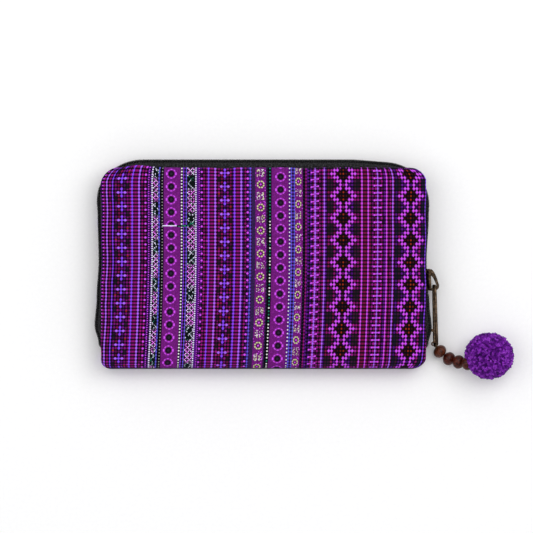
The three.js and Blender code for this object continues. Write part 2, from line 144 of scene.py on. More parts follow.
add_camera()
add_light("key", (0.6, 0.5, 1.5), 1.3, 12)
add_light("fill", (-0.8, 0.1, 1.3), 1.4, 5)
add_world(0.6)
bpy.context.scene.view_settings.view_transform = "Standard"

# %% [markdown]
# ## Numbers that a material works out
# A woven pattern is a lot of small sums: how far is this point from the middle of a stripe, and which
# thread of which row is it on? Node by node such sums are hard to read, so a small class wraps a socket
# and lets them be written as sums. Each sum still makes one ordinary Math node, and each fade or coat of
# paint one Map Range or Mix node.


# %% Sums as nodes
class Field:
    """A number that a material works out at each point of a surface."""

    def __init__(self, socket):
        self.socket = socket

    def __add__(self, other):
        return calc("ADD", self, other)

    def __sub__(self, other):
        return calc("SUBTRACT", self, other)

    def __mul__(self, other):
        return calc("MULTIPLY", self, other)

    def __truediv__(self, other):
        return calc("DIVIDE", self, other)


def plug(tree, value, socket):
    if isinstance(value, Field):
        tree.links.new(value.socket, socket)
    else:
        socket.default_value = value


def calc(operation, *values):
    tree = next(v for v in values if isinstance(v, Field)).socket.node.id_data
    node = tree.nodes.new("ShaderNodeMath")
    node.operation = operation
    for value, socket in zip(values, node.inputs):
        plug(tree, value, socket)
    return Field(node.outputs[0])


def fade(field, low, high):
    """0 on the side of low, 1 on the side of high, and a soft step between them."""
    node = field.socket.node.id_data.nodes.new("ShaderNodeMapRange")
    node.interpolation_type = "SMOOTHSTEP"
    node.inputs["From Min"].default_value = low
    node.inputs["From Max"].default_value = high
    node.id_data.links.new(field.socket, node.inputs[0])
    return Field(node.outputs[0])


def inside(field, half, soft=0.12):
    """1 where a signed distance is within half of 0."""
    return fade(calc("ABSOLUTE", field), half + soft, half - soft)


def both(*fields):
    result = fields[0]
    for field in fields[1:]:
        result = result * field
    return result


def either(first, second):
    return calc("MAXIMUM", first, second)


def repeat(field, pitch, at=0.0):
    """The signed distance to the nearest of the places at, at + pitch, at + 2 pitch and so on."""
    return calc("FLOORED_MODULO", field - (at - pitch / 2), pitch) - pitch / 2


def colour(red, green, blue):
    """A screen colour from 0 to 255 as the linear colour that a shader takes."""
    def linear(level):
        share = level / 255
        return share / 12.92 if share <= 0.04045 else ((share + 0.055) / 1.055) ** 2.4
    return (linear(red), linear(green), linear(blue), 1)


def paint(under, over, mask):
    """The colour under, with the colour over where mask is 1."""
    tree = mask.socket.node.id_data
    node = tree.nodes.new("ShaderNodeMix")
    node.data_type = "RGBA"
    plug(tree, mask, node.inputs[0])
    plug(tree, under, node.inputs[6])
    plug(tree, over, node.inputs[7])
    return Field(node.outputs[2])


def shade(tint, factor):
    """A colour made darker by a factor from 0 to 1."""
    return paint(colour(0, 0, 0), tint, factor)


def vector_of(*values):
    tree = next(v for v in values if isinstance(v, Field)).socket.node.id_data
    node = tree.nodes.new("ShaderNodeCombineXYZ")
    for value, socket in zip(values, node.inputs):
        plug(tree, value, socket)
    return Field(node.outputs[0])


def chance(*values):
    """A random number from 0 to 1 that stays the same for the same values."""
    node = values[0].socket.node.id_data.nodes.new("ShaderNodeTexWhiteNoise")
    node.noise_dimensions = "3D"
    node.id_data.links.new(vector_of(*values).socket, node.inputs["Vector"])
    return Field(node.outputs["Value"])


def specks(x, y, width, length):
    """A random number for each small patch of a surface."""
    return chance(calc("FLOOR", x / width), calc("FLOOR", y / length))


def cloud(vector, scale, detail=2.0):
    """Smooth noise from 0 to 1."""
    node = vector.socket.node.id_data.nodes.new("ShaderNodeTexNoise")
    node.inputs["Scale"].default_value = scale
    node.inputs["Detail"].default_value = detail
    node.id_data.links.new(vector.socket, node.inputs["Vector"])
    return Field(node.outputs[0])


def new_material(name, roughness, metallic=0.0):
    material = bpy.data.materials.new(name)
    material.use_nodes = True
    shader = material.node_tree.nodes["Principled BSDF"]
    shader.inputs["Roughness"].default_value = roughness
    shader.inputs["Metallic"].default_value = metallic
    return material, shader


def own_place(material, attribute):
    """The three numbers of a point attribute: a piece's own coordinates, which follow its surface."""
    tree = material.node_tree
    node = tree.nodes.new("ShaderNodeAttribute")
    node.attribute_name = attribute
    split = tree.nodes.new("ShaderNodeSeparateXYZ")
    tree.links.new(node.outputs["Vector"], split.inputs[0])
    return [Field(socket) for socket in split.outputs]


def object_place(material):
    """Object coordinates in mm."""
    tree = material.node_tree
    node = tree.nodes.new("ShaderNodeTexCoord")
    scale = tree.nodes.new("ShaderNodeVectorMath")
    scale.operation = "SCALE"
    scale.inputs["Scale"].default_value = 1 / MM
    tree.links.new(node.outputs["Object"], scale.inputs[0])
    return Field(scale.outputs[0])


def finish_surface(shader, tint, height=None, depth=0.2, strength=1.0, roughness=None):
    """Wires colour, bump and roughness into a shader. depth is the bump's height in mm."""
    tree = shader.id_data
    plug(tree, tint, shader.inputs["Base Color"])
    if roughness is not None:
        plug(tree, roughness, shader.inputs["Roughness"])
    if height is not None:
        bump = tree.nodes.new("ShaderNodeBump")
        bump.inputs["Distance"].default_value = depth * MM
        bump.inputs["Strength"].default_value = strength
        tree.links.new(height.socket, bump.inputs["Height"])
        tree.links.new(bump.outputs["Normal"], shader.inputs["Normal"])


# %% The floor
def bare_mesh(bm, name):
    mesh = bpy.data.meshes.new(name)
    bm.to_mesh(mesh)
    bm.free()
    return mesh


def add_floor():
    bm = bmesh.new()
    bmesh.ops.create_grid(bm, x_segments=1, y_segments=1, size=4)
    mesh = bare_mesh(bm, "floor")
    material, shader = new_material("pale_floor", 0.9)
    grain = cloud(object_place(material), 0.5)
    tint = paint(colour(249, 249, 250), colour(255, 255, 255), grain)
    finish_surface(shader, tint)
    shader.inputs["Specular IOR Level"].default_value = 0.1
    mesh.materials.append(material)
    floor = bpy.data.objects.new("floor", mesh)
    bpy.context.scene.collection.objects.link(floor)


add_floor()

# %% [markdown]
# ## The weave
# Hill weavers and embroiderers fill such cloth with narrow stripes that run from the zip to the fold:
# plain bright lines, crosses, rungs, chains of diamonds, rings and small confetti, most of them drawn in
# whole threads. A picture would fix the size of the pattern to its pixels, so the cloth is charted instead.
# Each kind of stripe is a short function of two lengths, across the cloth and down it, and small tables
# say where each stripe stands. Motifs of coarse thread round both lengths to whole threads first, which
# gives them the stepped outline of woven work. The discs and rings keep round outlines, because their
# thread is too fine to see.

# %% Colours of the yarns
violet = colour(140, 72, 255)
lilac = colour(178, 104, 255)
orchid = colour(214, 80, 246)
magenta = colour(156, 22, 130)
plum = colour(98, 20, 146)
wine = colour(132, 18, 78)
band_purple = colour(100, 20, 108)
slate = colour(56, 34, 84)
ink = colour(5, 2, 10)
black_green = colour(6, 15, 15)
powder_blue = colour(98, 92, 224)
ice = colour(232, 226, 255)
lime = colour(210, 224, 138)
off_white = colour(236, 234, 238)
dim_white = colour(150, 146, 146)
teal = colour(34, 128, 102)
ember = colour(150, 44, 12)
brown = colour(60, 8, 16)

# %% Where the stripes stand
# at, low and high are mm from the cloth's left edge, and start is mm down the cloth. A width, half, size,
# pitch or jump is a length in mm. squeeze and lean are plain factors.
BRIGHT_LINES = table(
    "at width yarn",
    (3.6, 0.86, lilac),
    (7.1, 0.65, violet),
    (18.9, 1.05, violet),
    (23.1, 1.05, lilac),
    (35.2, 0.72, powder_blue),
    (50.0, 0.50, violet),
    (51.6, 0.65, powder_blue),
    (65.0, 0.94, violet),
    (69.0, 1.01, lilac),
    (80.7, 1.01, violet),
    (84.7, 1.01, lilac),
    (90.1, 0.70, powder_blue),
    (100.1, 0.50, slate),
    (114.9, 0.80, powder_blue),
    (116.7, 0.75, powder_blue),
    (123.7, 0.50, magenta),
    (129.2, 0.94, lilac),
    (134.7, 0.79, lilac),
    (157.4, 0.80, orchid),
    (161.2, 0.80, orchid),
    (166.9, 0.75, lilac),
    (172.3, 0.80, orchid),
    (176.1, 0.80, lilac),
    (196.0, 0.50, violet),
)
DOT_ROWS = table(
    "at start pitch size yarn",
    (1.2, 0.5, 2.08, 0.38, orchid),
    (27.0, 0.4, 4.18, 0.62, orchid),
    (29.0, 0.5, 1.39, 0.32, orchid),
    (31.0, 0.2, 1.35, 0.46, ice),
    (37.1, 0.6, 1.85, 0.36, dim_white),
    (48.8, 0.6, 1.86, 0.48, off_white),
    (57.4, 0.2, 1.35, 0.44, ice),
    (59.4, 0.6, 1.25, 0.28, orchid),
    (60.9, 2.7, 4.10, 0.60, orchid),
    (88.6, 2.6, 4.08, 0.66, orchid),
    (113.8, 0.6, 2.26, 0.42, off_white),
    (122.4, 0.6, 2.00, 0.26, slate),
)
MIXED_DOTS = {"at": 102.0, "start": 0.6, "pitch": 2.0, "size": 0.46}
TEAL_END = 31
CROSSES = table(
    "at start",
    (12.6, 6.74),
    (74.8, 3.11),
)
DARK_BLOCKS = table(
    "at start",
    (9.1, 1.8),
    (16.1, 11.4),
    (71.3, 7.4),
    (78.3, 15.4),
)
LADDERS = table(
    "low high yarn",
    (18.9, 23.1, magenta),
    (65.0, 69.0, magenta),
    (80.7, 84.7, magenta),
    (157.4, 161.2, wine),
)
DARK_STRIPES = table(
    "low high yarn",
    (35.6, 38.0, ink),
    (48.2, 49.6, ink),
    (57.9, 58.9, plum),
    (91.0, 93.2, slate),
    (99.6, 103.0, ink),
    (113.2, 114.4, plum),
    (121.7, 123.2, ink),
)
LATTICES = table(
    "low high start",
    (31.5, 34.8, 2.0),
    (52.1, 56.9, 8.5),
)
DISC_BANDS = table(
    "low high at start pitch jump",
    (38.0, 48.1, 42.5, 3.8, 7.72, 1.75),
    (103.0, 113.1, 108.4, 5.6, 7.83, 0),
)
RING_BANDS = table(
    "low high at start pitch squeeze",
    (93.2, 99.6, 96.4, 10.2, 13.87, 1.0),
    (117.3, 121.7, 119.1, 8.4, 13.65, 1.3),
)
RUNGS = table(
    "at half start pitch lean",
    (129.0, 2.0, 2.65, 4.45, 0.14),
    (166.9, 2.0, 2.05, 4.43, 0.02),
)
DIAMONDS = table(
    "at start",
    (146.2, 3.8),
    (187.0, 3.9),
)
MOTIF_PITCH = 8.335
CROSS_COLUMN = 2.05
LATTICE_PITCH = 22.8
LATTICE_STEP = 0.74
FLECK_SIZE = 0.52
DIAMOND_ROWS = 6
ROW_LEFT = MOTIF_PITCH / 4
ROW_RIGHT = 2.222
ROW_START_LEFT = 0.49
ROW_START_RIGHT = 1.68
COLUMN = 1.777
COLUMN_START_LEFT = 12.6
COLUMN_START_RIGHT = 12.92
RIGHT_PART = 124.5
DRIFT_START = 42
DRIFT = 0.00038
FLAW = 35
DISC_RING = (2.3, 2.95)
DISC_CENTRE = 1.8
DISC_EYE = 0.8
DISC_BEADS = 8
LOBE_AT = 2.75
LINK_DOT = 0.4
DASH_RING = (1.55, 2.3)
DASHES = 8
CONFETTI_AT = 1.35
CONFETTI_REACH = 2.3
LATTICE_DARK = 4.6
LATTICE_CLOSE = 4
LATTICE_OPEN = 6
PULLED_PALE = {"at": 41.5, "half": 4.3, "down": 35.1, "thick": 0.3}
PULLED_GREEN = {"at": 51.0, "half": 5.2, "down": 35.3, "thick": 0.55}
PULLED_BEND_START = 50
PULLED_BEND = 0.06


# %% Threads and dots
def cell(place, pitch):
    """The number of the thread that a place is on, and the place within it from -0.5 to 0.5."""
    turns = calc("DIVIDE", place, pitch)
    number = calc("FLOOR", turns + 0.5)
    return number, turns - number


def distance(off_x, off_y):
    return calc("SQRT", off_x * off_x + off_y * off_y)


def dot(off_x, off_y, radius=0.35):
    """A round dot in the middle of a cell. It is what shows of a thread that goes over one other."""
    return fade(distance(off_x, off_y), radius + 0.09, radius - 0.09)


def neck(offset):
    """A thin bridge from one dot to the next."""
    return inside(offset, 0.15, 0.08) * 0.6


def band(x, row, soft=0.15):
    """1 between the two sides of a stripe."""
    return inside(x - (row["low"] + row["high"]) / 2, (row["high"] - row["low"]) / 2, soft)


def between(right, left_value, right_value):
    return right * (right_value - left_value) + left_value


def cross_mask(x, y, start):
    column, off_x = cell(x, CROSS_COLUMN)
    row, off_y = cell(repeat(y, MOTIF_PITCH, start), MOTIF_PITCH / 4)
    spot = dot(off_x, off_y)
    post = both(inside(column, 0.5), inside(row, 1.5), either(spot, neck(off_x)))
    arms = both(inside(column, 1.5), inside(row, 0.5), either(spot, neck(off_y)))
    return either(post, arms)


def ring_mask(reach, inner, outer):
    return inside(reach - (inner + outer) / 2, (outer - inner) / 2)


def lattice_mask(x, y, steps):
    """Thin threads that slant both ways in small steps."""
    step_x = calc("FLOOR", x / LATTICE_STEP)
    step_y = calc("FLOOR", y / LATTICE_STEP)
    rising = calc("FLOORED_MODULO", step_x + step_y, steps)
    falling = calc("FLOORED_MODULO", step_x - step_y, steps)
    return either(inside(rising, 0.5), inside(falling, 0.5))


# %% The kinds of stripe
def weave_ground(x, y, right):
    """Rows of small magenta and plum dots on a black ground."""
    column, off_x = cell(x - between(right, COLUMN_START_LEFT, COLUMN_START_RIGHT), COLUMN)
    row_pitch = between(right, ROW_LEFT, ROW_RIGHT)
    row, off_y = cell(y - between(right, ROW_START_LEFT, ROW_START_RIGHT), row_pitch)
    crown = inside(off_y, 0.27, 0.17)
    by_column = chance(column, column)
    by_cell = chance(column, row)
    tint = paint(magenta, plum, fade(by_column, 0.45, 0.75))
    tint = paint(tint, wine, both(fade(by_column, 0.25, 0.1), fade(by_cell, 0.3, 0.5)))
    tint = paint(tint, orchid, fade(by_cell, 0.9, 1.25))
    amount = either(dot(off_x, off_y, 0.34), neck(off_y) * 0.5)
    patch = fade(cloud(vector_of(x * 0.14, y * 0.14, 5.0), 1.0), 0.3, 0.6)
    return paint(ink, tint, amount * (by_cell * 0.6 + 0.12 + patch * 0.45)), crown, by_cell


def ladders(x, tint, crown):
    for row in LADDERS:
        rung = crown * (inside(x - (row["low"] + row["high"]) / 2, 0.5, 0.5) * 0.3 + 0.55)
        tint = paint(tint, paint(ink, row["yarn"], rung), band(x, row))
    return tint


def plain_bands(x, y, tint, height):
    """The smooth printed-looking bands, woven of thread too fine to see one by one."""
    fleck = specks(x, y, FLECK_SIZE, FLECK_SIZE)
    smooth = paint(band_purple, colour(134, 36, 142), fade(fleck, 0.2, 1.5))
    for row in DARK_STRIPES:
        tint = paint(tint, shade(row["yarn"], fleck * 0.5 + 0.5), band(x, row))
    for row in DISC_BANDS + RING_BANDS:
        here = band(x, row, 0.2)
        tint = paint(tint, smooth, here)
        height = height + here * (fleck * 0.25 + 0.35 - height)
    return tint, height, fleck


def disc_stripes(x, y, tint):
    """Dark discs in broken pink rings, with a bright lobe at each side."""
    for row in DISC_BANDS:
        off_x = x - row["at"]
        shifted = y + fade(y, FLAW, FLAW + 0.1) * row["jump"]
        off_y = repeat(shifted, row["pitch"], row["start"])
        reach = distance(off_x, off_y)
        ring = ring_mask(reach, *DISC_RING)
        centre = ring_mask(reach, 0, DISC_CENTRE)
        around = calc("ARCTAN2", off_y, off_x)
        beads = fade(calc("COSINE", around * DISC_BEADS), -0.8, 0.3)
        lobes = both(inside(calc("ABSOLUTE", off_x) - LOBE_AT, 0.5, 0.15), inside(off_y, 0.8, 0.3))
        link = dot(off_x, calc("ABSOLUTE", off_y) - row["pitch"] / 2, LINK_DOT)
        tint = paint(tint, plum, link)
        tint = paint(tint, orchid, either(ring * (beads * 0.65 + 0.25), lobes))
        tint = paint(tint, colour(20, 12, 26), centre)
        tint = paint(tint, colour(52, 44, 60), dot(off_x, off_y, DISC_EYE) * 0.6)
    return tint


def ring_stripes(x, y, tint, fleck):
    """Rings of pale dashes round a pink dot, with confetti between them."""
    for row in RING_BANDS:
        off_x = (x - row["at"]) * row["squeeze"]
        off_y = repeat(y, row["pitch"], row["start"])
        here = band(x, row, 0.1)
        reach = distance(off_x, off_y)
        ring = ring_mask(reach, *DASH_RING)
        hole = fade(reach, DASH_RING[0], DASH_RING[0] - 0.3)
        around = calc("ARCTAN2", off_y, off_x)
        dashes = fade(calc("COSINE", around * DASHES), 0.9, -0.1)
        gap = calc("ABSOLUTE", off_y) - row["pitch"] / 2
        beside = inside(calc("ABSOLUTE", off_x) - CONFETTI_AT, 0.95)
        strewn = both(beside, inside(gap, CONFETTI_REACH), fade(fleck, 0.66, 0.7))
        confetti = paint(off_white, lime, fade(fleck, 0.82, 0.84))
        tint = paint(tint, orchid, both(fade(fleck, 0.93, 0.95), here))
        tint = paint(tint, confetti, both(strewn, here) * 0.8)
        tint = paint(tint, brown, both(hole, here) * 0.6)
        tint = paint(tint, orchid, both(dot(off_x, off_y, 0.55), here))
        tint = paint(tint, lime, both(ring, dashes, here))
    return tint


def lattice_stripes(x, y, tint):
    """Pink slanting threads, and dark stretches where only a few pale ones are left."""
    for row in LATTICES:
        dark = inside(repeat(y, LATTICE_PITCH, row["start"]), LATTICE_DARK, 1.2)
        speck = specks(x, y, LATTICE_STEP, LATTICE_STEP)
        pink = paint(colour(244, 120, 255), ice, fade(speck, 0.6, 0.8))
        pale = paint(teal, ice, fade(speck, 0.5, 0.8))
        bright = lattice_mask(x - row["low"], y, LATTICE_CLOSE) * fade(speck, 0.0, 0.35)
        sparse = lattice_mask(x - row["low"], y, LATTICE_OPEN) * fade(speck, 0.42, 0.5)
        lit = paint(paint(ink, pink, bright), paint(black_green, pale, sparse), dark)
        tint = paint(tint, lit, band(x, row, 0.1))
    return tint


def diamonds(x, y, tint, by_cell):
    """Chains of diamonds: bright dots in steps, a dark heart with embers, dark blocks at the waists."""
    for chain in DIAMONDS:
        number, off_x = cell(x - chain["at"], COLUMN)
        column = calc("ABSOLUTE", number)
        from_widest = repeat(y, DIAMOND_ROWS * ROW_RIGHT, chain["start"])
        number, off_y = cell(from_widest, ROW_RIGHT)
        row = calc("ABSOLUTE", number)
        reach = column + row
        outline = both(inside(reach - 3.5, 0.7, 0.05), fade(column, 0.4, 0.6))
        waist = both(inside(column - 1, 0.3), inside(row - 3, 0.3))
        heart = fade(reach, 2.6, 2.4)
        ember_spot = both(fade(reach, 1.6, 1.4), fade(column, 0.6, 0.4), fade(by_cell, 0.0, 0.5))
        ember_spot = either(ember_spot, both(fade(reach, 1.6, 1.4), fade(by_cell, 0.6, 1.0)))
        beside = both(inside(column - 4.5, 0.7, 0.05), fade(row, 1.4, 1.6))
        spot = dot(off_x, off_y)
        small = dot(off_x, off_y, 0.26)
        tint = paint(tint, black_green, beside * 0.85)
        tint = paint(tint, paint(ink, paint(brown, ember, ember_spot), small), heart)
        lit = either(spot, either(neck(off_x), neck(off_y)))
        tint = paint(tint, orchid, either(outline, waist) * lit)
    return tint


def thread_motifs(x, y, tint, by_cell):
    """Dark blocks with red flecks between them, crosses and rungs."""
    for row in DARK_BLOCKS:
        near = inside(x - row["at"], 1.0, 0.3)
        block = both(near, inside(repeat(y, 2 * MOTIF_PITCH, row["start"]), 1.7, 0.3))
        fleck = both(inside(x - row["at"], 0.5, 0.2),
                     inside(repeat(y, 2 * MOTIF_PITCH, row["start"] + MOTIF_PITCH), 0.5, 0.2))
        tint = paint(tint, ember, fleck * fade(by_cell, 0.2, 0.8))
        tint = paint(tint, black_green, block * 0.85)
    for row in RUNGS:
        off_x = x - row["at"]
        off_y = repeat(y + off_x * row["lean"], row["pitch"], row["start"])
        bar = both(inside(off_x, row["half"], 0.15), inside(off_y, 0.3, 0.15)) * 0.85
        ends = dot(calc("ABSOLUTE", off_x) - row["half"], off_y, 0.55)
        tint = paint(tint, orchid, either(bar, ends))
    for row in CROSSES:
        arm = fade(calc("ABSOLUTE", x - row["at"]), 0.8, 1.4)
        tint = paint(tint, paint(violet, lilac, arm), cross_mask(x - row["at"], y, row["start"]))
    return tint


def lines_and_dots(x, y, tint, crown, height):
    """Bright lines that swell where they pass over a weft thread, and rows of single dots."""
    swell = crown * 0.5 + 0.62
    for row in BRIGHT_LINES:
        line = inside((x - row["at"]) / swell, row["width"] / 2, 0.16)
        tint = paint(tint, shade(row["yarn"], crown * 0.42 + 0.58), line)
        height = height + line * 0.35
    for row in DOT_ROWS:
        off_y = repeat(y, row["pitch"], row["start"])
        tint = paint(tint, row["yarn"], dot(x - row["at"], off_y, row["size"]))
    number, off_y = cell(y - MIXED_DOTS["start"], MIXED_DOTS["pitch"])
    spot = dot(x - MIXED_DOTS["at"], off_y * MIXED_DOTS["pitch"], MIXED_DOTS["size"])
    later = paint(off_white, teal, fade(chance(number, number), 0.7, 0.72))
    tint = paint(tint, paint(teal, later, fade(y, TEAL_END, TEAL_END + 1)), spot)
    return tint, height


def mended_thread(x, y, tint):
    """One pulled weft thread that crosses the left bands: pale, then dark green and rising a little."""
    def stretch(row, rise):
        return both(inside(x - row["at"], row["half"]), inside(rise, row["thick"]))

    pale = stretch(PULLED_PALE, y - PULLED_PALE["down"])
    bend = calc("MAXIMUM", x - PULLED_BEND_START, 0)
    green = stretch(PULLED_GREEN, y - PULLED_GREEN["down"] + bend * bend * PULLED_BEND)
    speck = specks(x, y, 0.9, 0.6)
    dark = paint(black_green, teal, fade(speck, 0.4, 0.9))
    return paint(paint(tint, ice, pale), dark, green)


# %% The woven cloth material
def make_cloth():
    material, shader = new_material("woven_cloth", 0.88)
    across, down, _ = own_place(material, "flat_mm")
    ramp = calc("MAXIMUM", down - DRIFT_START, 0)
    x = across + ramp * ramp * DRIFT
    right = fade(x, RIGHT_PART - 0.1, RIGHT_PART + 0.1)
    tint, crown, by_cell = weave_ground(x, down, right)
    tint = ladders(x, tint, crown)
    tint = diamonds(x, down, tint, by_cell)
    tint = thread_motifs(x, down, tint, by_cell)
    tint, height, fleck = plain_bands(x, down, tint, crown)
    tint = disc_stripes(x, down, tint)
    tint = ring_stripes(x, down, tint, fleck)
    tint = lattice_stripes(x, down, tint)
    tint, height = lines_and_dots(x, down, tint, crown, height)
    tint = mended_thread(x, down, tint)
    # Painted shade: a dark ink stripe along the fold's curve, where the cloth turns under and away from the
    # light.
    fold_shade_line = panel_run + 0.84 * arc_run
    tint = paint(tint, ink, inside(down - fold_shade_line, 1.2, 0.4))
    fibre = cloud(vector_of(across * 2.4, down * 2.4, 0.0), 1.0, 3.0)
    tint = shade(tint, fibre * 0.6 + 0.7)
    shader.inputs["Sheen Weight"].default_value = 0.03
    shader.inputs["Sheen Roughness"].default_value = 0.5
    shader.inputs["Sheen Tint"].default_value = violet
    shader.inputs["Specular IOR Level"].default_value = 0.08
    finish_surface(shader, tint, height + fibre * 0.25, depth=0.35, strength=0.8)
    print("cloth material:", len(material.node_tree.nodes), "nodes")
    return material


woven_cloth = make_cloth()

# %% [markdown]
# ## Making meshes
# Many of these pieces are sheets that are bent into place: the cloth, the tapes, every tube. So one
# helper makes a flat grid with bmesh and moves its corners, and another wraps such a grid round a path
# to make a tube. The frames along the path are carried from point to point, so a tube doesn't twist.


# %% Mesh helpers
def bent_grid(columns, rows, place):
    """A grid whose corners are moved one by one. place(column, row) gives a corner's new point, in mm."""
    bm = bmesh.new()
    bmesh.ops.create_grid(bm, x_segments=columns, y_segments=rows, size=1)
    for vert in bm.verts:
        column = round((vert.co.x + 1) / 2 * columns)
        row = round((vert.co.y + 1) / 2 * rows)
        vert.co = place(column, row)
    return bm


def flat_sheet(columns, rows, place):
    """A grid laid out flat, and the layer in which each corner keeps its flat place."""
    bm = bent_grid(columns, rows, place)
    flat = bm.verts.layers.float_vector.new("flat_mm")
    for vert in bm.verts:
        vert[flat] = vert.co
    return bm, flat


def spin_round(bm, axis, steps):
    """Spins what is drawn once round an axis and joins it to itself."""
    bmesh.ops.spin(bm, geom=bm.verts[:] + bm.edges[:], axis=axis, cent=(0, 0, 0),
                   angle=2 * math.pi, steps=steps, use_merge=True)
    bmesh.ops.remove_doubles(bm, verts=bm.verts, dist=0.001)
    bmesh.ops.recalc_face_normals(bm, faces=bm.faces)


def frames_along(points):
    """For each point of a path: the point and two directions across the path."""
    frames = []
    side = None
    for i, point in enumerate(points):
        ahead = (points[min(i + 1, len(points) - 1)] - points[max(i - 1, 0)]).normalized()
        if side is None:
            start = Vector((0, 0, 1)) if abs(ahead.z) < 0.9 else Vector((1, 0, 0))
            side = ahead.cross(start).normalized()
        side = (side - ahead * side.dot(ahead)).normalized()
        frames.append((point, side, ahead.cross(side)))
    return frames


def tube(points, radius, sides=8, ring=False):
    """A tube along a path. ring joins its ends instead of closing them."""
    frames = frames_along(points)
    size = radius if callable(radius) else (lambda share: radius)

    def place(column, row):
        point, side, lift = frames[column]
        turn = 2 * math.pi * row / sides
        reach = size(column / (len(points) - 1))
        return point + side * (reach * math.cos(turn)) + lift * (reach * math.sin(turn))

    bm = bent_grid(len(points) - 1, sides, place)
    bmesh.ops.remove_doubles(bm, verts=bm.verts, dist=0.0005)
    if not ring:
        rims = [edge for edge in bm.edges if edge.is_boundary]
        bmesh.ops.holes_fill(bm, edges=rims, sides=sides)
    bmesh.ops.recalc_face_normals(bm, faces=bm.faces)
    return bm


def absorb(whole, part):
    """Moves the mesh of one bmesh into another."""
    mesh = bare_mesh(part, "part")
    whole.from_mesh(mesh)
    bpy.data.meshes.remove(mesh)


def to_mesh(bm, name):
    """The finished mesh of a bmesh in mm, in metres."""
    bmesh.ops.scale(bm, vec=(MM, MM, MM), verts=bm.verts)
    return bare_mesh(bm, name)


def add_piece(mesh, name, material, body, slot, *nodes, sharp=50):
    """Puts a mesh in the scene as one piece that rides on a body and stands for the named nodes."""
    mesh.materials.append(material)
    mesh.polygons.foreach_set("use_smooth", [True] * len(mesh.polygons))
    mesh.set_sharp_from_angle(angle=math.radians(sharp))
    piece = bpy.data.objects.new(name, mesh)
    bpy.context.scene.collection.objects.link(piece)
    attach(piece, body)
    if nodes:
        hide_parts(*nodes)
    print(name, "faces:", len(mesh.polygons))
    return piece


def join_copies(template, matrices, name, tones_and_shade=None):
    """One mesh of moved copies of a few small ones in turn. tones gives each copy a number of its own."""
    whole = bmesh.new()
    for i, matrix in enumerate(matrices):
        part = template[i % len(template)].copy()
        part.transform(matrix)
        if tones_and_shade:
            part.attributes.new("tone", "FLOAT", "POINT")
            part.attributes["tone"].data.foreach_set("value", [tones_and_shade[i]] * len(part.vertices))
        whole.from_mesh(part)
        bpy.data.meshes.remove(part)
    return bare_mesh(whole, name)


# %% [markdown]
# ## The padded cloth
# The real cover is one long piece of quilted cloth, folded once at the bottom. It could be two separate
# panels, but then the stripes would not run on round the fold. So a flat sheet of the true cut size gets
# its own coordinates in mm first, and is then laid along the wrap: down the front, round the fold and up
# the back. The padding swells the front, the edges are turned in and rounded, and the stitching that
# holds them makes small puckers. Near its left end the top edge stands up in a small ear. A second, inner
# sheet is bridged to the first along the rim.

# %% The cloth
corner_left = 11
corner_right = 9.5
fold_corner_left = 3
fold_corner_right = 6
ear_rise = 1.6
ear_at = 19
ear_reach = 12
edge_roll = 2.4
edge_drop = 1.9
rim_wall = 0.7
pucker_pitch = 6.3
pucker_depth = 0.22
thread_step = 1.5
DENTS = table(
    "across up reach depth",
    (-0.66, -0.42, 0.26, 0.3),
    (-0.18, 0.52, 0.22, 0.2),
    (0.34, -0.3, 0.24, 0.22),
    (0.8, 0.1, 0.2, 0.28),
)


def grid_lines(length):
    """Places of the grid's lines: close together in the rounded edges, a thread step apart between."""
    edge = [0, 0.25, 0.7, 1.3, 2.0, 2.8]
    inner = length - 2 * edge[-1]
    count = round(inner / thread_step)
    body = [edge[-1] + inner * i / count for i in range(1, count)]
    return edge + body + [length - e for e in reversed(edge)]


def wrap(down):
    """The wrap's outer face at a length down the sheet: y, z, the way out, and 1 on the front."""
    fold_y = bottom + fold_radius
    if down <= panel_run:
        return top - down, edge_thickness, (0, 1), 1
    if down >= panel_run + fold_run:
        return fold_y + down - panel_run - fold_run, 0, (0, -1), 0
    along = down - panel_run
    if along <= arc_run:
        turn = along / fold_radius
        out = (-math.sin(turn), math.cos(turn))
        return fold_y + fold_radius * out[0], edge_thickness - fold_radius + fold_radius * out[1], out, 0
    if along <= fold_run - arc_run:
        return bottom, edge_thickness - fold_radius - (along - arc_run), (-1, 0), 0
    turn = math.pi / 2 - (fold_run - along) / fold_radius
    out = (-math.cos(turn), -math.sin(turn))
    return fold_y + fold_radius * out[0], fold_radius + fold_radius * out[1], out, 0


def corner_cut(from_end, radius):
    """How much a round corner takes off the side at a distance from the end."""
    short = max(0, radius - from_end)
    return radius - math.sqrt(max(0, radius ** 2 - short ** 2))


def side_reach(down, y, radius, fold_corner):
    """How far the cloth's side edge lies from the middle line."""
    from_end = min(down, cloth_length - down)
    cut = corner_cut(from_end, radius) + corner_cut(y - bottom, fold_corner)
    wobble = 0.3 * math.sin(down / 5.3) + 0.25 * math.sin(down / 12.1 + 1)
    return half_width - cut - 0.3 + wobble * min(1, from_end / radius)


def pillow(x, y):
    across = min(1, abs(x) / half_width)
    fold_end = bottom + fold_radius
    up = min(1, abs(2 * (y - fold_end) / (top - fold_end) - 1))
    rise = crown_rise * (1 - across ** 3) * (1 - up ** 3)
    height = top - bottom
    for dent in DENTS:
        reach = dent["reach"] * height
        away = math.hypot(x - dent["across"] * half_width, y - dent["up"] * top) / reach
        rise -= crown_rise * dent["depth"] * math.exp(-away * away) * (1 - across ** 4) * (1 - up ** 4)
    return max(rise, 0)


